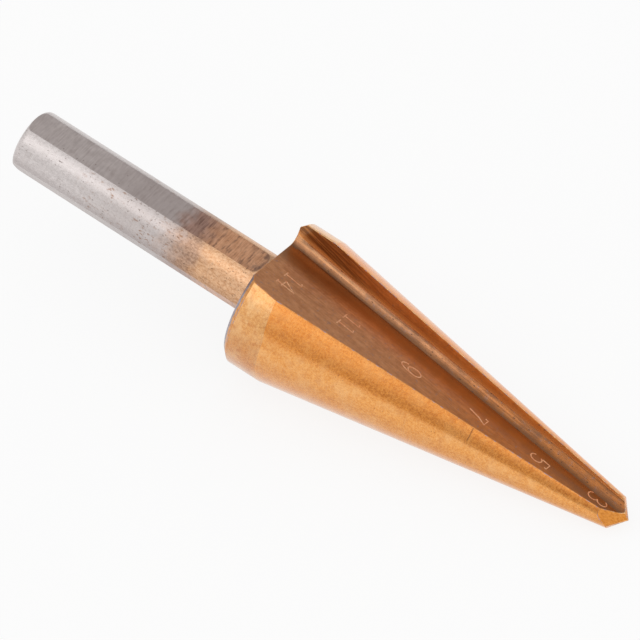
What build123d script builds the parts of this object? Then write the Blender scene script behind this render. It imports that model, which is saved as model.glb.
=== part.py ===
"""Taper drill for sheet metal: a fluted cone on a three-flat shank, ground from one bar.

The drill lies as it comes to rest, on the taper, with its flute up and its shank off the table.
The origin is at the bottom centre of its bounding box, +X runs from the shank to the point, and
+Z is up. Lengths are in millimetres and angles in degrees. A turn is measured about the drill's
axis, from straight up towards +Y.
"""
from build123d import *
from math import cos, radians, sin, sqrt, tan
import os

# ---------------------------------------------------------------- driving dimensions
# Shank
shank_diameter = 6.0
shank_length = 25.5
end_round = 0.6
flat_count = 3
flat_depth = 0.3            # ground away below the round
flat_turn = 1.0             # middle of the first flat
runout_radius = 1.0         # corner of the wheel that grinds the flats
neck_length = 0.7           # full round left between the flats and the body
neck_fillet = 0.25

# Body
body_diameter = 14.0
land_length = 3.65          # from the back face to the start of the taper
back_chamfer = 0.55
nose_length = 37.4          # from the back face to the apex of the point
taper_angle = 9.5           # half angle of the taper
point_angle = 102.0         # included angle of the point
seam_turn = 177.0           # where the turned faces close, beside the line that it rests on

# Heel relief: the taper's trailing side is ground by a wider cone, on an axis set to one side
relief_depth = 0.11
relief_offset = 0.4         # between the two axes
relief_turn = -26.5         # where the relief is deepest

# Flute: a square-cornered groove, ground along a straight line that slopes towards the axis
flute_turn = 14.5           # way that the floor faces
floor_height_back = 4.45    # floor above the axis at the back face
floor_height_tip = 0.41     # floor above the axis at the apex
wall_offset_back = 2.2      # rake wall beyond the axis at the back face
wall_offset_tip = 0.2       # rake wall beyond the axis at the apex
root_radius = 0.85          # between the floor and the rake wall

# Flat on the heel side of the point, which clears the cutting lip
facet_angle = 35.0          # from the axis
facet_turn = -51.5          # way that the flat faces
facet_lead = 0.05           # flat's plane beyond the apex, along the axis

# ---------------------------------------------------------------- derived sizes
shank_radius = shank_diameter / 2
body_radius = body_diameter / 2
flat_height = shank_radius - flat_depth
taper = tan(radians(taper_angle))
point_slope = tan(radians(point_angle / 2))
overrun = body_radius       # how far cutters run clear of the metal

# The point's cone meets the taper at the shoulder.
shoulder_x = (nose_length * point_slope - body_radius - land_length * taper) / (point_slope - taper)
shoulder_radius = (nose_length - shoulder_x) * point_slope

# ---------------------------------------------------------------- how the drill lies
# The axis dips by the taper's half angle, so that the lowest line of the taper is level.
dip = radians(taper_angle)
axis_dir = Vector(cos(dip), 0, -sin(dip))
up_dir = Vector(sin(dip), 0, cos(dip))
side_dir = Vector(0, 1, 0)
rear_reach = (
    (shank_length - end_round) * cos(dip) + (shank_radius - end_round) * sin(dip) + end_round
)
front_reach = nose_length * cos(dip)
back_height = land_length * sin(dip) + body_radius * cos(dip)
back_centre = Vector((rear_reach - front_reach) / 2, 0, back_height)


def across(turn):
    """Direction square to the drill's axis, at the given turn."""
    return up_dir * cos(radians(turn)) + side_dir * sin(radians(turn))


def profile_plane(turn, origin=back_centre):
    """Plane that holds the axis: x runs to the point, and y runs outwards at the given turn."""
    return Plane(origin=origin, x_dir=axis_dir, z_dir=axis_dir.cross(across(turn)))


with BuildPart() as cone_drill:
    # Turned blank: shank, back face, full-diameter land, taper and point
    with BuildSketch(profile_plane(seam_turn)):
        with BuildLine():
            Polyline(
                (-shank_length, 0),
                (-shank_length, shank_radius),
                (0, shank_radius),
                (0, body_radius - back_chamfer),
                (back_chamfer, body_radius),
                (land_length, body_radius),
                (shoulder_x, shoulder_radius),
                (nose_length, 0),
                close=True,
            )
        make_face()
        fillet(vertices().sort_by_distance((-shank_length, shank_radius))[0], radius=end_round)
        fillet(vertices().sort_by_distance((0, shank_radius))[0], radius=neck_fillet)
    revolve(axis=Axis(back_centre, axis_dir))

    # Heel relief
    relief_centre = back_centre - across(relief_turn) * relief_offset
    relief_start = -shank_length - overrun
    relief_apex = land_length + (body_radius + relief_offset - relief_depth) / taper
    with BuildSketch(profile_plane(0, relief_centre)):
        with BuildLine():
            Polyline(
                (relief_start, 0),
                (relief_start, (relief_apex - relief_start) * taper),
                (relief_apex, 0),
                close=True,
            )
        make_face()
    revolve(axis=Axis(relief_centre, axis_dir), mode=Mode.INTERSECT)

    # Flute, open at the back face and at the point
    floor_slope = (floor_height_tip - floor_height_back) / nose_length
    wall_slope = (wall_offset_tip - wall_offset_back) / nose_length
    flute_up = across(flute_turn)
    flute_side = across(flute_turn + 90)
    flute_dir = axis_dir + flute_up * floor_slope + flute_side * wall_slope
    flute_corner = back_centre + flute_up * floor_height_back + flute_side * wall_offset_back
    flute_plane = Plane(
        origin=flute_corner - flute_dir * overrun,
        x_dir=flute_dir.cross(flute_side).cross(flute_dir),
        z_dir=flute_dir,
    )
    with BuildSketch(flute_plane):
        Rectangle(body_diameter, body_diameter, align=(Align.MAX, Align.MIN))
        fillet(vertices().sort_by_distance((0, 0))[0], radius=root_radius)
    extrude(amount=nose_length + 3 * overrun, mode=Mode.SUBTRACT)

    # Facet on the point
    facet_top = nose_length + facet_lead
    facet_back = facet_top - body_radius / tan(radians(facet_angle))
    with BuildSketch(profile_plane(facet_turn)):
        with BuildLine():
            Polyline(
                (facet_top, 0),
                (facet_back, body_radius),
                (facet_top, body_radius),
                close=True,
            )
        make_face()
    extrude(amount=body_radius, both=True, mode=Mode.SUBTRACT)

    # Shank flats, each with a run-out that ends at the neck
    runout_length = sqrt(runout_radius**2 - (runout_radius - flat_depth) ** 2)
    flat_end = -neck_length - runout_length
    for flat in range(flat_count):
        with BuildSketch(profile_plane(flat_turn + flat * 360 / flat_count)):
            with BuildLine():
                Polyline(
                    (flat_end, flat_height),
                    (-shank_length, flat_height),
                    (-shank_length, shank_radius),
                    (-neck_length, shank_radius),
                )
                RadiusArc((-neck_length, shank_radius), (flat_end, flat_height), runout_radius)
            make_face()
        extrude(amount=shank_radius, both=True, mode=Mode.SUBTRACT)

cone_drill.part.label = "cone_drill"
os.makedirs("parts", exist_ok=True)
export_step(cone_drill.part, "parts/cone_drill.step")
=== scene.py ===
"""Dresses a taper drill for sheet metal: coated body, bare shank and engraved size numbers."""
from math import cos, pi, radians, sin, sqrt, tan

import bpy
from bpy.props import FloatProperty, FloatVectorProperty, IntProperty, PointerProperty
from bpy.types import Operator, Panel, PropertyGroup
from mathutils import Matrix, Vector


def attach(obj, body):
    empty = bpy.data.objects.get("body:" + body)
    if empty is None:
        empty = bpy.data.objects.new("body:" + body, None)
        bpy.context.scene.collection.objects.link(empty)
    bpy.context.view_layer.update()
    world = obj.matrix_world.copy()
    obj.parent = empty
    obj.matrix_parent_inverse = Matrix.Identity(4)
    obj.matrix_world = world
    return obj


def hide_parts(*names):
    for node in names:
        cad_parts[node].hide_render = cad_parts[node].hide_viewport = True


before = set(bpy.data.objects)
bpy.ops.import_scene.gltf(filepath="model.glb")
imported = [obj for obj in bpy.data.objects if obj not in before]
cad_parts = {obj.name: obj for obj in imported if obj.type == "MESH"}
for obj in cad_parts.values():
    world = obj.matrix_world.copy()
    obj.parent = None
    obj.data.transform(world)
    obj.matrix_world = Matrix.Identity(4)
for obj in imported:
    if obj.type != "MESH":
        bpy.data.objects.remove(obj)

bl_info = {
    "name": "Taper Drill Dresser",
    "version": (1, 0, 0),
    "blender": (4, 5, 0),
    "location": "View3D > Sidebar > Taper Drill",
    "description": "Models and finishes a taper drill, and sets its stage",
    "category": "Object",
}

MM = 0.001
CLOSE = 0.01 * MM               # places nearer than this are the same place
DOUBLE = 0.0005 * MM            # points of the drill nearer than this are merged
TOOL_DOUBLE = 0.001 * MM        # and points of the engraving tool
SQUARE = 0.99                   # a normal this far along an axis is square to it
FLAT_COUNT = 3                  # on the shank
END_SEGMENTS = 8                # in the round of the shank's end
NECK_SEGMENTS = 6               # in the fillet between the shank and the back face
ROOT_SEGMENTS = 14              # in the flute's rounded corner
RUNOUT_SEGMENTS = 10            # in the run-out of a shank flat
EDGE_SEGMENTS = 2               # across a broken edge
ARC_POINTS = 18                 # in a digit's arc
GLOSS_ROUGHNESS = 0.12          # of the clear gloss over the finishes
SENSOR_WIDTH = 36.0             # of the camera, in millimetres
NEAR_CLIP = 0.01                # of the camera, in metres


def paint(red, green, blue):
    """Scene colour from the red, green and blue of a paint chart, 0 to 255."""
    return tuple((c / 255) ** 2.2 for c in (red, green, blue))


def length(name, description, value):
    return FloatProperty(
        name=name, description=description, default=value * MM, unit="LENGTH", precision=5
    )


def angle(name, description, value):
    return FloatProperty(
        name=name, description=description, default=radians(value), subtype="ANGLE"
    )


def colour(name, description, *chart):
    return FloatVectorProperty(
        name=name, description=description, default=paint(*chart), subtype="COLOR",
        size=3, min=0, max=1,
    )


def spot(name, description, value):
    return FloatVectorProperty(
        name=name, description=description, default=value, subtype="TRANSLATION", unit="LENGTH"
    )


# ---------------------------------------------------------------- sizes and colours
class DrillSizes(PropertyGroup):
    """Sizes of the drill"""

    shank_diameter: length("Shank diameter", "Across the round of the shank", 6.0)
    shank_length: length("Shank length", "From the shank's end to the body", 25.5)
    end_round: length("End rounding", "Radius at the shank's end", 0.6)
    flat_depth: length("Flat depth", "Ground off the round at each flat", 0.3)
    flat_turn: angle("Flat turn", "Turn of the first flat about the axis", 1.0)
    runout_radius: length("Run-out radius", "Corner of the wheel that grinds the flats", 1.0)
    neck_length: length("Neck length", "Full round between the flats and the body", 0.7)
    neck_fillet: length("Neck fillet", "Radius where the shank meets the body", 0.25)
    body_diameter: length("Body diameter", "Full diameter of the body", 14.0)
    land_length: length("Land length", "Full diameter behind the taper", 3.65)
    back_chamfer: length("Back chamfer", "Chamfer on the body's back edge", 0.55)
    nose_length: length("Nose length", "From the body's back face to its apex", 37.4)
    taper_angle: angle("Taper angle", "Half angle of the taper", 9.5)
    point_angle: angle("Point angle", "Full angle of the point", 102.0)
    relief_depth: length("Relief depth", "Deepest relief behind the cutting edge", 0.11)
    relief_offset: length("Relief offset", "From the drill's axis to the relief's", 0.4)
    relief_turn: angle("Relief turn", "Turn at which the relief is deepest", -26.5)
    flute_turn: angle("Flute turn", "Turn that the flute's floor faces", 14.5)
    floor_back: length("Floor at the back", "Floor above the axis at the back face", 4.45)
    floor_tip: length("Floor at the tip", "Floor above the axis at the apex", 0.41)
    wall_back: length("Wall at the back", "Rake wall beyond the axis at the back face", 2.2)
    wall_tip: length("Wall at the tip", "Rake wall beyond the axis at the apex", 0.2)
    root_radius: length("Root radius", "Between the floor and the rake wall", 0.85)
    facet_angle: angle("Facet angle", "Facet on the point, from the axis", 35.0)
    facet_turn: angle("Facet turn", "Turn that the facet faces", -51.5)
    facet_lead: length("Facet lead", "Facet's plane beyond the apex", 0.05)
    sharp_angle: angle("Sharp angle", "Edges past this are broken", 24)
    edge_break: length("Edge break", "Width of the worn edges", 0.04)
    digit_width: length("Digit width", "Width of an engraved digit", 0.8)
    stroke_width: length("Stroke width", "Width of an engraved line", 0.14)
    stroke_depth: length("Stroke depth", "Depth of an engraved line", 0.015)
    steps: IntProperty(name="Steps", description="Segments round the drill", default=180, min=24)


class DrillColours(PropertyGroup):
    """Main colours of the drill. Each finish goes from a deep shade to a full one."""

    coat: colour("Coat", "Hard coat on the taper", 252, 180, 102)
    coat_deep: colour("Coat, deep", "Deep shade of the coat on the taper", 222, 142, 66)
    coat_pale: colour("Coat, pale", "Pale patches of the coat on the taper", 252, 198, 136)
    land: colour("Land", "Hard coat on the land", 250, 186, 116)
    land_deep: colour("Land, deep", "Deep shade of the coat on the land", 216, 146, 82)
    land_pale: colour("Land, pale", "Pale patches of the coat on the land", 255, 212, 156)
    back: colour("Back edge", "Coat on the back chamfer", 236, 172, 108)
    back_deep: colour("Back edge, deep", "Deep shade of the back chamfer", 200, 136, 80)
    rubbed: colour("Rubbed steel", "Steel where the coat is rubbed through", 178, 168, 174)
    rubbed_deep: colour("Rubbed steel, deep", "Deep shade of the rubbed steel", 140, 130, 138)
    steel: colour("Shank steel", "Round of the bare shank", 224, 216, 214)
    steel_deep: colour("Shank steel, deep", "Deep shade of the bare shank", 196, 188, 186)
    ground: colour("Ground flats", "Flats of the shank", 206, 195, 192)
    ground_deep: colour("Ground flats, deep", "Deep shade of the flats", 172, 161, 158)
    straw: colour("Straw", "Heat tint beside the body", 242, 196, 156)
    straw_deep: colour("Straw, deep", "Deep shade of the straw tint", 204, 152, 112)
    brown: colour("Brown", "Heat tint beyond the straw", 208, 170, 144)
    brown_deep: colour("Brown, deep", "Deep shade of the brown tint", 160, 126, 106)
    floor: colour("Flute floor", "Floor of the flute", 216, 151, 104)
    floor_deep: colour("Flute floor, deep", "Deep shade of the floor", 178, 117, 76)
    floor_tip: colour("Flute floor, tip", "Floor near the point", 214, 131, 68)
    floor_tip_deep: colour("Flute floor, tip, deep", "Deep shade near the point", 172, 100, 48)
    root: colour("Flute root", "Rounded corner of the flute", 208, 146, 102)
    root_deep: colour("Flute root, deep", "Deep shade of the root", 160, 106, 68)
    root_tip: colour("Flute root, tip", "Root near the point", 196, 120, 58)
    root_tip_deep: colour("Flute root, tip, deep", "Deep shade near the point", 152, 90, 42)
    wall: colour("Rake wall", "Wall beside the cutting edge", 222, 156, 96)
    wall_deep: colour("Rake wall, deep", "Deep shade of the wall", 190, 124, 68)
    wall_tip: colour("Rake wall, tip", "Wall near the point", 255, 190, 112)
    wall_tip_deep: colour("Rake wall, tip, deep", "Deep shade near the point", 232, 158, 82)
    facet: colour("Point facet", "Flat on the point", 240, 158, 72)
    facet_deep: colour("Point facet, deep", "Deep shade of the flat", 206, 126, 48)
    edge: colour("Cutting edge", "Broken edge along the cut", 252, 210, 156)
    edge_deep: colour("Cutting edge, deep", "Deep shade of the broken edge", 222, 146, 78)
    number: colour("Number", "Bottoms of the engraved numbers", 255, 206, 164)
    number_deep: colour("Number, deep", "Deep shade of the numbers", 226, 158, 116)


class StageSizes(PropertyGroup):
    """Sizes, places and levels of the stage"""

    camera_place: spot("Camera place", "Where the camera stands", (0.161638, -0.247202, 0.318229))
    camera_turn: FloatVectorProperty(
        name="Camera turn", description="How the camera is turned", subtype="EULER",
        default=(radians(43.5128), radians(-0.7036), radians(33.9560)),
    )
    lens: FloatProperty(
        name="Lens", description="Focal length in millimetres", default=281.25, unit="CAMERA"
    )
    lamp_place: spot("Lamp place", "Where the soft lamp stands", (-0.113, -0.393, 0.439))
    lamp_width: length("Lamp width", "Width of the soft lamp", 280.0)
    lamp_glow: FloatProperty(name="Lamp glow", description="Brightness of its face", default=0.5)
    fill_place: spot("Fill place", "Where the fill lamp stands", (0.1, 0.5, 0.9))
    fill_width: length("Fill width", "Width of the fill lamp", 600.0)
    fill_glow: FloatProperty(name="Fill glow", description="Brightness of its face", default=0.2)
    floor_width: length("Floor width", "Width of the pale floor", 3000.0)
    floor_colour: FloatVectorProperty(
        name="Floor", description="Matt colour of the floor", default=(0.95, 0.95, 0.95),
        subtype="COLOR", size=3, min=0, max=1,
    )
    floor_white: FloatProperty(
        name="Floor white", description="Share of plain white in the floor that is seen",
        default=0.86, min=0, max=1, subtype="FACTOR",
    )
    doorway: FloatVectorProperty(
        name="Doorway", description="Way to the dim part of the room", subtype="XYZ",
        default=(0.34, -0.94, 0.0),
    )


# ---------------------------------------------------------------- where things lie
def back_centre(s):
    """Centre of the body's back face, with the drill at rest on its taper."""
    dip, shank = s.taper_angle, s.shank_diameter / 2
    end_length, end_radius = s.shank_length - s.end_round, shank - s.end_round
    rear = end_length * cos(dip) + end_radius * sin(dip) + s.end_round
    front = s.nose_length * cos(dip)
    height = s.land_length * sin(dip) + s.body_diameter / 2 * cos(dip)
    return Vector(((rear - front) / 2, 0, height))


def lay(s):
    """From the bench, with the drill upright on Z and X in the flute's way, to how it lies."""
    dip = s.taper_angle
    up, axis = Vector((sin(dip), 0, cos(dip))), Vector((cos(dip), 0, -sin(dip)))
    turned = Matrix((up, axis.cross(up), axis)).transposed().to_4x4()
    return Matrix.Translation(back_centre(s)) @ turned


def across(turn):
    """Direction square to the upright drill's axis, at a turn."""
    return Vector((cos(turn), -sin(turn), 0))


def flute_frame(s):
    """The flute on the bench: Z along it, X square to the rake wall and Y off the floor."""
    up, side = across(s.flute_turn), across(s.flute_turn + pi / 2)
    floor_slope = (s.floor_tip - s.floor_back) / s.nose_length
    wall_slope = (s.wall_tip - s.wall_back) / s.nose_length
    way = (Vector((0, 0, 1)) + up * floor_slope + side * wall_slope).normalized()
    x_way = way.cross(side).cross(way).normalized()
    turned = Matrix((x_way, way.cross(x_way), way)).transposed().to_4x4()
    return Matrix.Translation(up * s.floor_back + side * s.wall_back) @ turned


# ---------------------------------------------------------------- bench work
def clear_bench():
    if bpy.context.object and bpy.context.object.mode != "OBJECT":
        bpy.ops.object.mode_set(mode="OBJECT")
    bpy.ops.object.select_all(action="DESELECT")


def pick(piece):
    clear_bench()
    piece.select_set(True)
    bpy.context.view_layer.objects.active = piece


def name_piece(name):
    piece = bpy.context.object
    piece.name = name
    piece.data.name = name
    return piece


def turn_solid(name, stations, steps):
    """Turns a solid on Z from (height, radius) stations; a last radius of 0 closes in a point."""
    clear_bench()
    height, radius = stations[0]
    bpy.ops.mesh.primitive_circle_add(
        vertices=steps, radius=radius, fill_type="NGON", location=(0, 0, height)
    )
    piece = name_piece(name)
    bpy.ops.object.transform_apply(location=True, rotation=True, scale=True)
    bpy.ops.object.mode_set(mode="EDIT")
    bpy.ops.mesh.select_all(action="SELECT")
    for above, wide in stations[1:]:
        bpy.ops.mesh.extrude_region_move(
            TRANSFORM_OT_translate={"value": (0, 0, above - height)}
        )
        if wide:
            ratio = wide / radius
            bpy.ops.transform.resize(value=(ratio, ratio, 1), center_override=(0, 0, above))
            height, radius = above, wide
        else:
            bpy.ops.mesh.merge(type="CENTER")
    bpy.ops.mesh.select_all(action="SELECT")
    bpy.ops.mesh.normals_make_consistent(inside=False)
    bpy.ops.object.mode_set(mode="OBJECT")
    return piece


def block(name, low, high, rounded=None, radius=0.0, segments=1):
    """A box between two corners. rounded picks the edge to round, by its middle."""
    clear_bench()
    low, high = Vector(low), Vector(high)
    bpy.ops.mesh.primitive_cube_add(size=1, location=(low + high) / 2, scale=high - low)
    piece = name_piece(name)
    bpy.ops.object.transform_apply(location=True, rotation=True, scale=True)
    if rounded is not None:
        bpy.ops.object.mode_set(mode="EDIT")
        bpy.ops.mesh.select_mode(type="EDGE")
        bpy.ops.mesh.select_all(action="DESELECT")
        bpy.ops.object.mode_set(mode="OBJECT")
        points = piece.data.vertices
        for edge in piece.data.edges:
            middle = (points[edge.vertices[0]].co + points[edge.vertices[1]].co) / 2
            edge.select = (middle - Vector(rounded)).length < CLOSE
        bpy.ops.object.mode_set(mode="EDIT")
        bpy.ops.mesh.bevel(
            offset=radius, offset_type="OFFSET", segments=segments, affect="EDGES"
        )
        bpy.ops.object.mode_set(mode="OBJECT")
    return piece


def place(piece, matrix):
    pick(piece)
    piece.matrix_world = matrix
    bpy.ops.object.transform_apply(location=True, rotation=True, scale=True)


def cut(piece, tool, operation="DIFFERENCE", itself=False):
    """Cuts a piece with a tool, which leaves its own finish on the cut and may cross itself."""
    pick(piece)
    grind = piece.modifiers.new(tool.name, "BOOLEAN")
    grind.operation = operation
    grind.object = tool
    grind.solver = "EXACT"
    grind.use_self = itself
    grind.material_mode = "TRANSFER"
    bpy.ops.object.modifier_apply(modifier=grind.name)
    bpy.data.objects.remove(tool)


def arc(centre, radius, start, end, segments):
    """Stations along an arc, from one angle to another, both in degrees."""
    turns = [radians(start + (end - start) * k / segments) for k in range(segments + 1)]
    return [(centre[0] + radius * cos(a), centre[1] + radius * sin(a)) for a in turns]


# ---------------------------------------------------------------- finishes
class Nodes:
    """A node tree under construction"""

    def __init__(self, tree):
        self.tree = tree

    def add(self, kind, settings=None, **inputs):
        """A new node. Inputs are named as in Blender, with _ for a space."""
        node = self.tree.nodes.new(kind)
        for name, value in (settings or {}).items():
            setattr(node, name, value)
        for name, value in inputs.items():
            self.feed(node.inputs[name.replace("_", " ")], value)
        return node

    def feed(self, socket, value):
        if isinstance(value, bpy.types.NodeSocket):
            self.tree.links.new(value, socket)
        elif socket.type == "RGBA":
            socket.default_value = (*value, 1)
        else:
            socket.default_value = value

    def maths(self, operation, *values):
        node = self.add("ShaderNodeMath", {"operation": operation})
        for socket, value in zip(node.inputs, values):
            self.feed(socket, value)
        return node.outputs[0]

    def plus(self, first, second):
        return self.maths("ADD", first, second)

    def times(self, first, second):
        return self.maths("MULTIPLY", first, second)

    def sway(self, value, pattern, amount):
        """Value, moved by an amount of a pattern."""
        return self.maths("MULTIPLY_ADD", pattern, amount, value)

    def rise(self, value, low, high, start=0.0, end=1.0):
        """Smooth rise from start to end, as value goes from low to high."""
        return self.add(
            "ShaderNodeMapRange", {"interpolation_type": "SMOOTHSTEP"},
            Value=value, From_Min=low, From_Max=high, To_Min=start, To_Max=end,
        ).outputs["Result"]


class Finish(Nodes):
    """A metal finish under construction. Its patterns lie in millimetres on the upright drill."""

    def __init__(self, name, sizes, roughness, grain=Matrix()):
        self.material = bpy.data.materials.new(name)
        self.material.use_nodes = True
        super().__init__(self.material.node_tree)
        self.shader = self.tree.nodes["Principled BSDF"]
        self.shader.inputs["Metallic"].default_value = 1.0
        self.shader.inputs["Roughness"].default_value = roughness
        to_bench = (lay(sizes) @ grain).inverted()
        self.place = self.add(
            "ShaderNodeMapping",
            Vector=self.add("ShaderNodeTexCoord").outputs["Object"],
            Location=to_bench.translation / MM,
            Rotation=to_bench.to_euler(),
            Scale=(1 / MM, 1 / MM, 1 / MM),
        ).outputs["Vector"]
        split = self.add("ShaderNodeSeparateXYZ", Vector=self.place)
        self.x, self.y, self.z = split.outputs

    def spread(self, stretch, shift=(0, 0, 0), turn=(0, 0, 0)):
        return self.add(
            "ShaderNodeMapping", Vector=self.place, Location=shift, Rotation=turn, Scale=stretch
        ).outputs["Vector"]

    def cloud(
        self, scale, stretch=(1, 1, 1), detail=4.0, roughness=0.55, shift=(0, 0, 0), turn=(0, 0, 0)
    ):
        """Noise with scale bumps a millimetre, stretched along the bench's axes."""
        return self.add(
            "ShaderNodeTexNoise", Vector=self.spread(stretch, shift, turn),
            Scale=scale, Detail=detail, Roughness=roughness,
        ).outputs["Fac"]

    def dots(self, scale, size, share, stretch=(1, 1, 1)):
        """Round specks: scale cells a millimetre, size of a cell, and a share of the cells."""
        cells = self.add("ShaderNodeTexVoronoi", Vector=self.spread(stretch), Scale=scale)
        near = self.rise(cells.outputs["Distance"], size * 0.6, size, 1.0, 0.0)
        chosen = self.add("ShaderNodeSeparateColor", Color=cells.outputs["Color"]).outputs[0]
        return self.times(near, self.maths("LESS_THAN", chosen, share))

    def facing(self):
        """1 on the side that the flute is on, and -1 on the side that the drill lies on."""
        square = self.plus(self.maths("POWER", self.x, 2.0), self.maths("POWER", self.y, 2.0))
        return self.maths("DIVIDE", self.x, self.maths("SQRT", square))

    def strokes(self, slope, fine, along, detail):
        """Straight strokes in a plane of Y and Z, sloping towards Y as they run along Z."""
        sheared = self.sway(self.y, self.z, slope)
        run = self.add(
            "ShaderNodeCombineXYZ", X=self.times(sheared, fine), Y=self.x,
            Z=self.times(self.z, along),
        )
        return self.add(
            "ShaderNodeTexNoise", Vector=run.outputs["Vector"],
            Scale=1.0, Detail=detail, Roughness=0.65,
        ).outputs["Fac"]

    def blend(self, amount, under, over, mode="MIX"):
        node = self.add("ShaderNodeMix", {"data_type": "RGBA", "blend_type": mode})
        sockets = (node.inputs[0], node.inputs[6], node.inputs[7])
        for socket, value in zip(sockets, (amount, under, over)):
            self.feed(socket, value)
        return node.outputs[2]

    def painted_shade(self, amount, tone, tint):
        """Tone, multiplied by an amount of a tint: painted shade."""
        return self.blend(amount, tone, self.blend(1.0, tone, tint, "MULTIPLY"))

    def finish(self, tone, relief, depth, roughness=None, gloss=0.0):
        """Joins up the finish, with relief to a depth in millimetres and a clear gloss."""
        self.feed(self.shader.inputs["Base Color"], tone)
        self.shader.inputs["Coat Weight"].default_value = gloss
        self.shader.inputs["Coat Roughness"].default_value = GLOSS_ROUGHNESS
        if roughness is not None:
            self.feed(self.shader.inputs["Roughness"], roughness)
        bump = self.add("ShaderNodeBump", Height=relief, Strength=1.0, Distance=depth * MM)
        self.feed(self.shader.inputs["Normal"], bump.outputs["Normal"])
        return self.material


def coated_finish(s, name, tint, deep, pale, worn=0.0):
    """Hard coat over ground steel: finely mottled, faint rings, specks, nicks and painted shade.
    """
    f = Finish(name, s, 0.3)
    mottle = f.cloud(5.0, detail=6, roughness=0.75)
    broad = f.cloud(0.5, detail=4, shift=(4, 1, 7))
    rings = f.cloud(1.0, stretch=(0.5, 0.5, 7.0), detail=5, roughness=0.6)
    tone = f.blend(f.rise(mottle, 0.34, 0.66), deep, tint)
    tone = f.blend(f.rise(broad, 0.42, 0.7, 0.0, 0.4 + worn), tone, pale)
    tone = f.blend(f.rise(rings, 0.5, 0.8, 0.0, 0.3), tone, pale)
    stain = f.cloud(1.3, detail=5, roughness=0.65, shift=(8, 3, 1))
    tone = f.blend(f.rise(stain, 0.52, 0.72, 0.0, 0.35 + worn), tone, paint(196, 118, 62))
    patches = f.rise(f.cloud(0.45, shift=(9, 2, 3)), 0.46, 0.62)
    specks = f.times(f.dots(3.4, 0.2, 0.35), patches)
    tone = f.blend(f.times(specks, 0.6), tone, paint(116, 70, 44))
    # Painted shade: greyer and a little darker on the side that the drill lies on.
    under = f.rise(f.facing(), 0.25 + worn, -0.1 + worn, 0.0, 0.5 + 1.5 * worn)
    tone = f.painted_shade(under, tone, paint(224, 218 - 60 * worn, 214 - 120 * worn))
    if not worn:
        # Painted shade: the coat is deeper in colour towards the flute, and a little darker beside
        # its edge.
        toward = f.rise(f.facing(), 0.32, 0.46)
        tone = f.painted_shade(toward, tone, paint(255, 234, 200))
        beside = f.times(f.rise(f.facing(), 0.6, 0.7), f.maths("GREATER_THAN", f.y, 0.0))
        tone = f.painted_shade(beside, tone, paint(246, 248, 252))
    nicks = f.dots(0.9, 0.09, 0.2 + worn)
    tone = f.blend(f.times(nicks, 0.7), tone, paint(236, 214, 212))
    relief = f.plus(f.times(mottle, 0.6), f.times(rings, 0.4))
    relief = f.maths("SUBTRACT", relief, f.times(specks, 0.4))
    if not worn:
        # One scratch runs across the taper, from the flute's edge.
        scratch_place = 22.95
        slip = f.sway(f.z, f.cloud(0.8, detail=1), 0.5)
        apart = f.maths("ABSOLUTE", f.maths("SUBTRACT", slip, scratch_place))
        near = f.rise(apart, 0.03, 0.09, 1.0, 0.0)
        turned = f.maths("DIVIDE", f.y, f.x)
        span = f.times(f.rise(turned, 0.6, 0.8), f.rise(turned, 1.6, 2.2, 1.0, 0.0))
        scratch = f.times(f.times(near, span), f.maths("GREATER_THAN", f.x, 0.0))
        tone = f.blend(f.times(scratch, 0.6), tone, paint(120, 76, 46))
    return f.finish(tone, relief, 0.008, f.rise(mottle, 0.3, 0.7, 0.22, 0.34), gloss=0.6)


def shank_finish(s, c):
    """Bare ground steel with pits and brown specks, and a heat tint towards the body."""
    f = Finish("bare shank", s, 0.3)
    mottle = f.cloud(5.0, stretch=(1, 1, 0.6), detail=6, roughness=0.75)
    wander = f.sway(f.z, f.cloud(0.45, detail=4, roughness=0.6), 5.0)
    brown = f.rise(wander, -8.2, -4.6)
    straw = f.rise(wander, -4.4, -2.0)
    rings = f.cloud(1.0, stretch=(0.4, 0.4, 8.0), detail=5, roughness=0.65)
    grain = f.rise(mottle, 0.34, 0.66)
    tone = f.blend(f.rise(mottle, 0.3, 0.7), c.steel_deep, c.steel)
    tone = f.blend(f.rise(f.z, -20.0, -12.0, 0.0, 0.4), tone, paint(184, 172, 168))
    tone = f.blend(brown, tone, f.blend(grain, c.brown_deep, c.brown))
    tone = f.blend(straw, tone, f.blend(grain, c.straw_deep, c.straw))
    tone = f.blend(f.rise(rings, 0.5, 0.8, 0.0, 0.3), tone, paint(160, 142, 132))
    flecks = f.cloud(4.6, stretch=(1, 1, 0.4), detail=5, roughness=0.6)
    middle = f.times(f.rise(f.z, -21.0, -15.0), f.rise(f.z, -9.0, -3.0, 1.0, 0.4))
    there = f.rise(f.cloud(0.35, detail=3, shift=(3, 3, 3)), 0.4, 0.58, 0.1, 1.0)
    rust = f.times(f.rise(flecks, 0.56, 0.66), f.times(there, middle))
    tone = f.blend(f.times(rust, 0.75), tone, paint(146, 104, 76))
    patches = f.rise(f.cloud(0.45, shift=(1, 7, 2)), 0.42, 0.56, 0.15, 1.0)
    holes = f.cloud(7.5, stretch=(1, 1, 0.6), detail=3, roughness=0.5, shift=(7, 7, 7))
    pits = f.times(f.rise(holes, 0.62, 0.7), patches)
    tone = f.blend(f.times(pits, 0.75), tone, paint(92, 70, 60))
    # Painted shade: the side that the drill lies on is a little darker and greyer.
    tone = f.painted_shade(f.rise(f.facing(), 0.35, 0.0, 0.0, 0.8), tone, paint(222, 220, 220))
    relief = f.plus(f.times(mottle, 0.5), f.times(rings, 0.5))
    relief = f.maths("SUBTRACT", relief, f.times(pits, 0.8))
    return f.finish(tone, relief, 0.004, f.rise(mottle, 0.3, 0.7, 0.24, 0.36))


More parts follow.
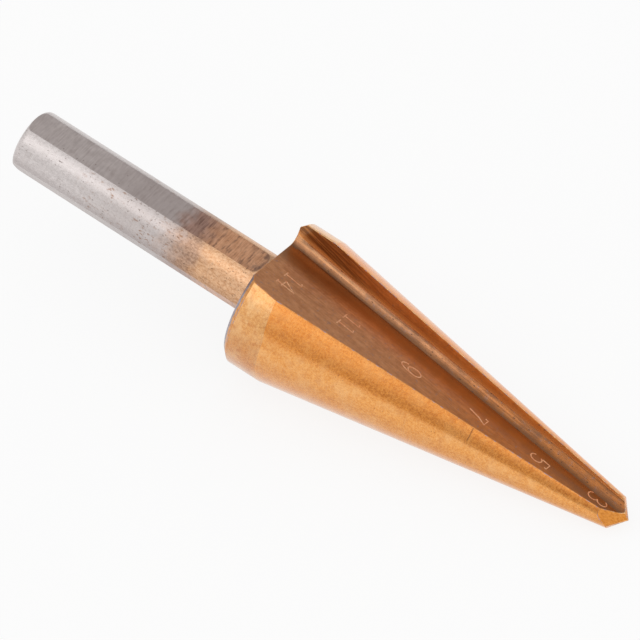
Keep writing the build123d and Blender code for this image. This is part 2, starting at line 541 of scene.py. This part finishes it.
def flat_finish(s, c):
    """Flats ground square to the shank: fine cross lines, brown in the heat tint's reach."""
    f = Finish("ground flats", s, 0.34)
    slant = (0.06, 0, 0)
    wander = f.sway(f.z, f.cloud(0.4, detail=3), 5.0)
    brown = f.rise(wander, -7.6, -5.8)
    straw = f.rise(wander, -4.8, -2.6)
    lines = f.cloud(1.0, stretch=(0.3, 0.45, 10.0), detail=6, roughness=0.7, turn=slant)
    streaks = f.cloud(1.0, stretch=(0.3, 0.8, 4.0), detail=3, turn=slant, shift=(3, 1, 8))
    cross = f.times(f.rise(lines, 0.3, 0.7), 0.6)
    fine = f.sway(cross, f.rise(f.cloud(1.1, detail=5, roughness=0.65), 0.3, 0.7), 0.4)
    tone = f.blend(fine, c.ground_deep, c.ground)
    tone = f.blend(f.rise(f.z, -20.0, -12.0, 0.0, 0.5), tone, paint(168, 155, 152))
    tone = f.blend(brown, tone, f.blend(fine, paint(134, 104, 92), paint(188, 152, 138)))
    tone = f.blend(straw, tone, f.blend(fine, paint(178, 126, 94), paint(238, 182, 144)))
    dark = f.times(f.rise(streaks, 0.5, 0.68), f.maths("MULTIPLY_ADD", brown, 0.45, 0.15))
    tone = f.blend(dark, tone, paint(108, 82, 72))
    blotch = f.rise(f.cloud(0.9, detail=4), 0.44, 0.62)
    blotch = f.times(blotch, f.rise(f.z, -4.0, -0.9))
    tone = f.blend(f.times(blotch, 0.55), tone, paint(116, 92, 84))
    tone = f.blend(f.times(f.dots(2.2, 0.16, 0.06), 0.7), tone, paint(96, 74, 62))
    return f.finish(tone, lines, 0.006, f.rise(lines, 0.3, 0.7, 0.28, 0.4))


def back_edge_finish(s, c):
    """Back chamfer: the coat, rubbed through to blue-grey steel along its inner edge."""
    f = Finish("rubbed back edge", s, 0.3)
    mottle = f.cloud(3.0, detail=6, roughness=0.7)
    grain = f.rise(mottle, 0.35, 0.7)
    wander = f.sway(f.z, f.cloud(1.6, detail=4, shift=(2, 6, 4)), 0.3)
    steel = f.blend(grain, c.rubbed_deep, c.rubbed)
    coat = f.blend(grain, c.back_deep, c.back)
    return f.finish(f.blend(f.rise(wander, 0.36, 0.46), steel, coat), mottle, 0.004)


def flute_tone(f, tint, deep, tip_tint, tip_deep):
    """Brown coat with long wheel scratches and soft smudges, changing towards the point."""
    lines = f.cloud(1.0, stretch=(7.0, 7.0, 0.16), detail=6, roughness=0.7)
    mottle = f.cloud(0.9, stretch=(1.6, 1.6, 0.7), detail=6, roughness=0.65)
    smudge = f.cloud(1.5, stretch=(1.3, 1.3, 0.8), detail=7, roughness=0.75, shift=(3, 6, 2))
    strength = f.rise(f.sway(f.times(lines, 0.4), smudge, 0.6), 0.34, 0.66)
    back = f.blend(strength, deep, tint)
    tone = f.blend(f.rise(f.z, 10.0, 26.0), back, f.blend(strength, tip_deep, tip_tint))
    tone = f.blend(f.rise(mottle, 0.46, 0.7, 0.0, 0.6), tone, deep)
    grey = f.rise(f.cloud(2.6, detail=5, shift=(5, 5, 5)), 0.56, 0.7, 0.0, 0.5)
    tone = f.blend(grey, tone, paint(150, 122, 114))
    hair = f.cloud(1.0, stretch=(9.0, 9.0, 0.08), detail=2, shift=(2, 8, 1))
    tone = f.blend(f.rise(hair, 0.66, 0.72, 0.0, 0.45), tone, paint(244, 180, 130))
    long = f.cloud(1.0, stretch=(4.0, 4.0, 0.05), detail=2, shift=(6, 1, 3))
    tone = f.blend(f.rise(long, 0.68, 0.72, 0.0, 0.4), tone, paint(240, 164, 106))
    return tone, lines, mottle


def floor_coat_finish(s, c, grain):
    """Flute floor: painted shade in the corner and a painted shadow wedge at the back."""
    f = Finish("flute floor", s, 0.3, grain)
    tone, lines, mottle = flute_tone(f, c.floor, c.floor_deep, c.floor_tip, c.floor_tip_deep)
    # Painted shadow in a wedge at the back; painted shade in the corner beside the root.
    painted_shadow_wedge = f.times(f.rise(f.z, 2.0, 8.5, 1.0, 0.0), f.rise(f.x, -3.6, -2.2, 0.0, 0.6))
    tone = f.blend(painted_shadow_wedge, tone, paint(136, 96, 62))
    tone = f.blend(f.rise(f.x, -3.0, -1.3, 0.0, 0.9), tone, paint(140, 92, 54))
    relief = f.plus(lines, f.times(mottle, 0.3))
    return f.finish(tone, relief, 0.003, f.rise(mottle, 0.3, 0.7, 0.28, 0.4), gloss=0.35)


def root_finish(s, c, grain):
    """Rounded corner of the flute: painted shade beside the floor, a painted highlight, specks
    along its middle.
    """
    f = Finish("flute root", s, 0.26, grain)
    tone, lines, mottle = flute_tone(f, c.root, c.root_deep, c.root_tip, c.root_tip_deep)
    waver = f.cloud(1.3, stretch=(1, 1, 0.5), detail=5, roughness=0.65, shift=(1, 4, 9))
    waver = f.maths("MULTIPLY_ADD", waver, 0.5, -0.25)
    # Painted shade beside the floor.
    low = f.rise(f.plus(f.x, waver), -0.8, 0.0, 0.95, 0.0)
    tone = f.blend(low, tone, paint(112, 68, 30))
    # Painted highlight along the upper part of the corner, fading towards the point.
    painted_highlight_band = f.rise(f.plus(f.y, waver), 0.25, 0.6, 0.0, 0.75)
    tone = f.blend(f.times(painted_highlight_band, f.rise(f.z, 4.0, 13.0, 1.0, 0.0)), tone, paint(226, 164, 114))
    streaks = f.cloud(1.0, stretch=(6.0, 6.0, 0.25), detail=5, shift=(7, 2, 5))
    tone = f.blend(f.rise(streaks, 0.54, 0.64, 0.0, 0.45), tone, paint(122, 80, 50))
    stains = f.rise(f.cloud(1.4, stretch=(1, 1, 0.3), detail=6, roughness=0.7), 0.5, 0.64)
    tone = f.blend(f.times(stains, 0.5), tone, paint(118, 80, 58))
    specks = f.dots(4.2, 0.28, 0.34, stretch=(1, 1, 0.55))
    tone = f.blend(f.times(specks, 0.75), tone, paint(84, 54, 34))
    roughness = f.rise(mottle, 0.3, 0.7, 0.2, 0.3)
    return f.finish(tone, f.plus(lines, mottle), 0.006, roughness, gloss=0.7)


def wall_finish(s, c, grain):
    """Rake wall: brown-gold, painted light along its foot, dark strokes in painted shade towards
    the back.
    """
    f = Finish("rake wall", s, 0.3, grain)
    tone, lines, mottle = flute_tone(f, c.wall, c.wall_deep, c.wall_tip, c.wall_tip_deep)
    slant = f.strokes(0.125, 5.5, 0.25, detail=2.5)
    # Painted light: paler along the wall's foot, beside the root.
    tone = f.blend(f.rise(f.y, 0.8, 1.3, 0.9, 0.0), tone, paint(252, 188, 122))
    # Towards the back: dark strokes, real marks set in a painted dark reflection.
    high = f.rise(f.sway(f.y, f.z, 0.06), 1.0, 1.4)
    back = f.rise(f.z, 4.0, 10.5, 1.0, 0.0)
    dark = f.times(f.rise(slant, 0.38, 0.56, 0.3, 1.0), f.times(back, high))
    tone = f.blend(f.times(dark, 0.85), tone, paint(118, 76, 40))
    faint = f.times(f.rise(slant, 0.5, 0.7), f.rise(f.z, 8.0, 22.0, 0.5, 0.1))
    tone = f.blend(faint, tone, paint(160, 98, 52))
    roughness = f.rise(mottle, 0.3, 0.7, 0.28, 0.4)
    return f.finish(tone, f.plus(lines, slant), 0.008, roughness, gloss=0.35)


def facet_finish(s, c):
    """Flat on the point: the coat over lengthwise grinding lines."""
    f = Finish("point facet", s, 0.3)
    lines = f.cloud(1.0, stretch=(7.0, 7.0, 0.5), detail=6, roughness=0.7)
    tone = f.blend(f.rise(lines, 0.34, 0.66), c.facet_deep, c.facet)
    tone = f.blend(f.times(f.dots(1.6, 0.1, 0.2), 0.7), tone, paint(232, 206, 196))
    return f.finish(tone, lines, 0.006, f.rise(lines, 0.3, 0.7, 0.26, 0.38), gloss=0.35)


def worn_finish(s, c, grain):
    """Broken edges: bright along the cut, chipped to grey across the flute, plain on the shank."""
    f = Finish("worn edge", s, 0.28, grain)
    rub = f.cloud(1.8, detail=6, roughness=0.7)
    wear = f.rise(rub, 0.4, 0.62)
    bright = f.blend(wear, c.edge_deep, c.edge)
    chips = f.rise(f.cloud(2.0, detail=5, shift=(6, 1, 2)), 0.52, 0.6)
    tone = f.blend(wear, paint(206, 132, 74), paint(232, 164, 104))
    tone = f.blend(f.rise(f.x, -1.5, -0.5), tone, bright)
    tone = f.blend(f.times(chips, 0.85), tone, paint(176, 156, 162))
    steel = f.blend(f.rise(f.z, -9.0, -5.0), paint(206, 198, 196), paint(206, 160, 126))
    tone = f.blend(f.rise(f.z, -0.5, -0.2, 1.0, 0.0), tone, steel)
    return f.finish(tone, rub, 0.004)


def engraved_finish(s, c, grain):
    """Bottoms of the engraved numbers, scraped brighter than the floor."""
    f = Finish("engraved number", s, 0.45, grain)
    rub = f.cloud(3.0, detail=5, roughness=0.7)
    return f.finish(f.blend(f.rise(rub, 0.35, 0.65), c.number_deep, c.number), rub, 0.004)


# ---------------------------------------------------------------- grinding
def turn_blank(s, c):
    """The turned blank: shank, back face, full-diameter land, taper and point."""
    shank, body = s.shank_diameter / 2, s.body_diameter / 2
    taper, slope = tan(s.taper_angle), tan(s.point_angle / 2)
    shoulder = (s.nose_length * slope - body - s.land_length * taper) / (slope - taper)
    end_middle = (-s.shank_length + s.end_round, shank - s.end_round)
    neck_middle = (-s.neck_fillet, shank + s.neck_fillet)
    stations = arc(end_middle, s.end_round, 180, 90, END_SEGMENTS)
    stations += arc(neck_middle, s.neck_fillet, -90, 0, NECK_SEGMENTS)
    stations += [
        (0, body - s.back_chamfer),
        (s.back_chamfer, body),
        (s.land_length, body),
        (shoulder, (s.nose_length - shoulder) * slope),
        (s.nose_length, 0),
    ]
    drill = turn_solid("ground_drill", stations, s.steps)
    coat = coated_finish(s, "coated taper", c.coat, c.coat_deep, c.coat_pale)
    land = coated_finish(s, "coated land", c.land, c.land_deep, c.land_pale, worn=0.2)
    for finish in (shank_finish(s, c), back_edge_finish(s, c), land, coat):
        drill.data.materials.append(finish)
    limits = (-CLOSE, s.back_chamfer - CLOSE, s.land_length - CLOSE)
    for face in drill.data.polygons:
        face.material_index = sum(face.center.z > limit for limit in limits)
    return drill


def relieve_heel(s, drill):
    """Heel relief, by a wider cone on an axis set to one side."""
    body, taper = s.body_diameter / 2, tan(s.taper_angle)
    low = -s.shank_length - body
    peak = s.land_length + (body + s.relief_offset - s.relief_depth) / taper
    clear_bench()
    bpy.ops.mesh.primitive_cone_add(
        vertices=s.steps, radius1=(peak - low) * taper, radius2=0, depth=peak - low,
        location=Vector((0, 0, (peak + low) / 2)) - across(s.relief_turn) * s.relief_offset,
    )
    wheel = name_piece("relief wheel")
    bpy.ops.object.transform_apply(location=True, rotation=True, scale=True)
    wheel.data.materials.append(drill.data.materials["coated taper"])
    cut(drill, wheel, "INTERSECT")


def grind_flute(s, c, drill):
    """Square-cornered flute with a rounded root, open at the back face and at the point."""
    reach = s.body_diameter
    grain = flute_frame(s)
    wheel = block(
        "flute wheel", (-reach, 0, -reach), (0, reach, s.nose_length + reach),
        rounded=(0, 0, s.nose_length / 2), radius=s.root_radius, segments=ROOT_SEGMENTS,
    )
    for make in (floor_coat_finish, root_finish, wall_finish):
        wheel.data.materials.append(make(s, c, grain))
    for face in wheel.data.polygons:
        floor, wall = face.normal.y < -SQUARE, face.normal.x > SQUARE
        face.material_index = 0 if floor else 2 if wall else 1
    place(wheel, grain)
    cut(drill, wheel)


def grind_facet(s, c, drill):
    """Flat on the heel side of the point."""
    reach = s.body_diameter
    out = across(s.facet_turn)
    lean = Vector((0, 0, -cos(s.facet_angle))) + out * sin(s.facet_angle)
    outward = Vector((0, 0, sin(s.facet_angle))) + out * cos(s.facet_angle)
    wheel = block("facet wheel", (-reach, -reach, 0), (reach, reach, reach))
    wheel.data.materials.append(facet_finish(s, c))
    aim = Matrix((lean, outward.cross(lean), outward)).transposed().to_4x4()
    place(wheel, Matrix.Translation((0, 0, s.nose_length + s.facet_lead)) @ aim)
    cut(drill, wheel)


def grind_flats(s, c, drill):
    """Shank flats, each with a run-out that ends at the neck."""
    shank = s.shank_diameter / 2
    height = shank - s.flat_depth
    runout = sqrt(s.runout_radius**2 - (s.runout_radius - s.flat_depth) ** 2)
    front = -s.neck_length - runout + s.runout_radius
    back = -s.shank_length - shank
    finish = flat_finish(s, c)
    for k in range(FLAT_COUNT):
        wheel = block(
            "flat wheel", (height, -shank, back), (2 * shank, shank, front),
            rounded=(height, 0, front), radius=s.runout_radius, segments=RUNOUT_SEGMENTS,
        )
        wheel.data.materials.append(finish)
        place(wheel, Matrix.Rotation(-(s.flat_turn + k * 2 * pi / FLAT_COUNT), 4, "Z"))
        cut(drill, wheel)


def mark_edges(s, drill):
    """Marks the edges to be broken, apart from those that run out in the rounded shank end."""
    pick(drill)
    bpy.ops.object.mode_set(mode="EDIT")
    bpy.ops.mesh.select_all(action="SELECT")
    bpy.ops.mesh.remove_doubles(threshold=DOUBLE)
    bpy.ops.mesh.dissolve_degenerate(threshold=DOUBLE)
    bpy.ops.mesh.select_mode(type="EDGE")
    bpy.ops.mesh.select_all(action="DESELECT")
    bpy.ops.mesh.edges_select_sharp(sharpness=s.sharp_angle)
    bpy.ops.object.mode_set(mode="OBJECT")
    mesh = drill.data
    weights = mesh.attributes.new("bevel_weight_edge", "FLOAT", "EDGE")
    for edge in mesh.edges:
        back = min(mesh.vertices[k].co.z for k in edge.vertices)
        weights.data[edge.index].value = edge.select and back > -s.shank_length + s.end_round


class DRILL_OT_grind_drill(Operator):
    """Model the drill: turned blank, heel relief, flute, facet and shank flats"""

    bl_idname = "taper_drill.grind_drill"
    bl_label = "Grind the Drill"

    def execute(self, context):
        s, c = context.scene.drill_sizes, context.scene.drill_colours
        drill = turn_blank(s, c)
        relieve_heel(s, drill)
        grind_flute(s, c, drill)
        grind_facet(s, c, drill)
        grind_flats(s, c, drill)
        mark_edges(s, drill)
        return {"FINISHED"}


# ---------------------------------------------------------------- numbers
# Strokes of each digit, in a cell one wide and one high about its middle. A stroke is a list of
# (right, up) points, and an arc is (middle right, middle up, half width, half height, from, to),
# with its turns in degrees. Strokes of a digit may cross, and no stroke crosses itself.
DIGITS = {
    "1": [[(-0.38, 0.40), (0.0, 0.5), (0.0, -0.49)], [(-0.42, -0.5), (0.42, -0.5)]],
    "3": [(0.0, 0.25, 0.42, 0.25, 155, -90), (0.0, -0.25, 0.5, 0.25, 90, -155)],
    "4": [
        [(0.25, -0.5), (0.25, 0.5), (-0.5, -0.18)],
        [(-0.5, -0.2), (0.5, -0.2)],
        [(0.0, -0.5), (0.5, -0.5)],
    ],
    "5": [
        [(0.42, 0.38), (0.42, 0.5), (-0.36, 0.5), (-0.4, 0.06)],
        (0.0, -0.2, 0.48, 0.3, 145, -155),
    ],
    "7": [[(-0.45, 0.34), (-0.45, 0.5), (0.45, 0.5), (0.05, 0.1), (-0.2, -0.5)]],
    "9": [(0.0, 0.17, 0.5, 0.33, 0, 360), (0.0, 0.0, 0.5, 0.5, 20, -150)],
}
# Middle of each digit in the flute's frame, in millimetres: (digit, across, along, height)
NUMBERS = (
    ("1", -4.15, 2.9, 1.75),
    ("4", -5.3, 2.95, 1.85),
    ("1", -3.5, 9.0, 1.6),
    ("1", -4.56, 9.05, 1.6),
    ("9", -3.42, 15.6, 2.05),
    ("7", -2.64, 22.45, 1.9),
    ("5", -1.99, 28.9, 1.85),
    ("3", -1.12, 34.7, 1.9),
)


def stroke_points(stroke):
    """Points of a stroke, and whether it closes on itself."""
    if isinstance(stroke, list):
        return stroke, False
    right, up, wide, high, start, end = stroke
    closed = end - start == 360
    count = ARC_POINTS + (not closed)
    turns = [radians(start + (end - start) * k / ARC_POINTS) for k in range(count)]
    return [(right + wide * cos(a), up + high * sin(a)) for a in turns], closed


class DRILL_OT_engrave_numbers(Operator):
    """Engrave the sizes in millimetres along the flute's floor"""

    bl_idname = "taper_drill.engrave_numbers"
    bl_label = "Engrave the Numbers"

    def execute(self, context):
        s, c = context.scene.drill_sizes, context.scene.drill_colours
        drill = bpy.data.objects["ground_drill"]
        grain = flute_frame(s)
        lines = bpy.data.curves.new("engraving tool", "CURVE")
        lines.dimensions = "3D"
        for digit, aside, along, height in NUMBERS:
            for stroke in DIGITS[digit]:
                points, closed = stroke_points(stroke)
                path = lines.splines.new("POLY")
                path.points.add(len(points) - 1)
                for point, (right, up) in zip(path.points, points):
                    x, z = aside * MM - right * s.digit_width, (along + up * height) * MM
                    point.co = (x, 0, z, 1)
                path.use_cyclic_u = closed
        lines.bevel_depth = s.stroke_width / 2
        lines.bevel_resolution = 1
        lines.use_fill_caps = True
        tool = bpy.data.objects.new("engraving tool", lines)
        context.collection.objects.link(tool)
        pick(tool)
        bpy.ops.object.convert(target="MESH")
        tool = context.object
        bpy.ops.object.mode_set(mode="EDIT")
        bpy.ops.mesh.select_all(action="SELECT")
        bpy.ops.mesh.remove_doubles(threshold=TOOL_DOUBLE)
        bpy.ops.mesh.normals_make_consistent(inside=False)
        bpy.ops.object.mode_set(mode="OBJECT")
        tool.data.materials.append(engraved_finish(s, c, grain))
        flatten = Matrix.Diagonal((1, 2 * s.stroke_depth / s.stroke_width, 1, 1))
        place(tool, grain @ flatten)
        cut(drill, tool, itself=True)
        return {"FINISHED"}


# ---------------------------------------------------------------- edges
class DRILL_OT_break_edges(Operator):
    """Break the sharp edges, and lay the finished drill down on its taper"""

    bl_idname = "taper_drill.break_edges"
    bl_label = "Break the Edges"

    def execute(self, context):
        s, c = context.scene.drill_sizes, context.scene.drill_colours
        drill = bpy.data.objects["ground_drill"]
        pick(drill)
        drill.data.materials.append(worn_finish(s, c, flute_frame(s)))
        wear = drill.modifiers.new("edge wear", "BEVEL")
        wear.width = s.edge_break
        wear.segments = EDGE_SEGMENTS
        wear.limit_method = "WEIGHT"
        wear.use_clamp_overlap = False
        wear.material = len(drill.data.materials) - 1
        bpy.ops.object.modifier_apply(modifier=wear.name)
        bpy.ops.object.shade_smooth_by_angle(angle=s.sharp_angle)
        flat_names = ("flute floor", "rake wall", "ground flats", "point facet", "engraved number")
        for face in drill.data.polygons:
            if drill.data.materials[face.material_index].name in flat_names:
                face.use_smooth = False
        place(drill, lay(s))
        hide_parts("cone_drill")
        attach(drill, "root")
        return {"FINISHED"}


# ---------------------------------------------------------------- stage
def floor_finish(g):
    """Matt pale floor, seen mostly as plain white, which keeps a soft shadow."""
    material = bpy.data.materials.new("pale floor")
    material.use_nodes = True
    n = Nodes(material.node_tree)
    n.tree.nodes.remove(n.tree.nodes["Principled BSDF"])
    path = n.add("ShaderNodeLightPath").outputs
    seen = n.maths("MAXIMUM", path["Is Camera Ray"], path["Is Glossy Ray"])
    seen = n.maths("MAXIMUM", seen, path["Is Transmission Ray"])
    matt = n.add("ShaderNodeBsdfDiffuse", Color=g.floor_colour)
    white = n.add("ShaderNodeEmission", Strength=1.0)
    mix = n.add("ShaderNodeMixShader")
    shares = (n.times(seen, g.floor_white), matt.outputs[0], white.outputs[0])
    for socket, value in zip(mix.inputs, shares):
        n.feed(socket, value)
    n.feed(n.tree.nodes["Material Output"].inputs["Surface"], mix.outputs[0])
    return material


def soft_room(g):
    """A plain pale room, dimmer at a doorway, behind the drill and at the level of the floor."""
    world = bpy.data.worlds.new("soft room")
    world.use_nodes = True
    n = Nodes(world.node_tree)
    way = n.add("ShaderNodeTexCoord").outputs["Generated"]
    split = n.add("ShaderNodeSeparateXYZ", Vector=way).outputs
    toward = n.add("ShaderNodeVectorMath", {"operation": "DOT_PRODUCT"})
    n.feed(toward.inputs[0], way)
    n.feed(toward.inputs[1], g.doorway)
    doorway = n.rise(toward.outputs["Value"], 0.84, 0.96)
    shade = n.times(doorway, n.rise(split["Z"], 0.0, 1.0, 0.5, 0.04))
    high = n.rise(split["Z"], 0.0, 0.5, 0.88, 0.98)
    front = n.rise(split["Y"], -0.3, 0.5, 1.0, 0.6)
    level = n.times(n.times(high, front), n.maths("SUBTRACT", 1.0, shade))
    background = n.tree.nodes["Background"]
    n.feed(background.inputs["Color"], (1, 1, 1))
    n.feed(background.inputs["Strength"], level)
    return world


class DRILL_OT_set_stage(Operator):
    """Set the pale floor, the soft lamps and the camera"""

    bl_idname = "taper_drill.set_stage"
    bl_label = "Set the Stage"

    def execute(self, context):
        g = context.scene.stage_sizes
        clear_bench()
        bpy.ops.mesh.primitive_plane_add(size=g.floor_width, location=(0, 0, 0))
        floor = name_piece("pale_floor")
        floor.data.materials.append(floor_finish(g))
        context.scene.world = soft_room(g)
        for name, stand, width, glow in (
            ("soft_lamp", g.lamp_place, g.lamp_width, g.lamp_glow),
            ("fill_lamp", g.fill_place, g.fill_width, g.fill_glow),
        ):
            aim = Vector(stand).to_track_quat("Z", "Y").to_euler()
            bpy.ops.object.light_add(type="AREA", location=stand, rotation=aim)
            lamp = context.object
            lamp.name = name
            lamp.data.shape = "SQUARE"
            lamp.data.size = width
            lamp.data.energy = glow * pi * width**2
        bpy.ops.object.camera_add(location=g.camera_place, rotation=g.camera_turn)
        camera = context.object
        camera.name = "camera"
        camera.data.lens = g.lens
        camera.data.sensor_width = SENSOR_WIDTH
        camera.data.clip_start = NEAR_CLIP
        context.scene.camera = camera
        context.scene.view_settings.view_transform = "Standard"
        return {"FINISHED"}


# ---------------------------------------------------------------- panel
class DRILL_PT_panel(Panel):
    """Sidebar panel that lists the steps"""

    bl_idname = "DRILL_PT_panel"
    bl_label = "Taper Drill"
    bl_space_type = "VIEW_3D"
    bl_region_type = "UI"
    bl_category = "Taper Drill"

    def draw(self, context):
        for step in STEPS:
            self.layout.operator(step.bl_idname)


STEPS = (DRILL_OT_grind_drill, DRILL_OT_engrave_numbers, DRILL_OT_break_edges, DRILL_OT_set_stage)
CLASSES = (DrillSizes, DrillColours, StageSizes, *STEPS, DRILL_PT_panel)


def register():
    for cls in CLASSES:
        bpy.utils.register_class(cls)
    bpy.types.Scene.drill_sizes = PointerProperty(type=DrillSizes)
    bpy.types.Scene.drill_colours = PointerProperty(type=DrillColours)
    bpy.types.Scene.stage_sizes = PointerProperty(type=StageSizes)


def unregister():
    del bpy.types.Scene.stage_sizes
    del bpy.types.Scene.drill_colours
    del bpy.types.Scene.drill_sizes
    for cls in reversed(CLASSES):
        bpy.utils.unregister_class(cls)


def main():
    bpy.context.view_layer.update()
    register()
    for step in STEPS:
        group, _, name = step.bl_idname.partition(".")
        getattr(getattr(bpy.ops, group), name)()


if __name__ == "__main__":
    main()
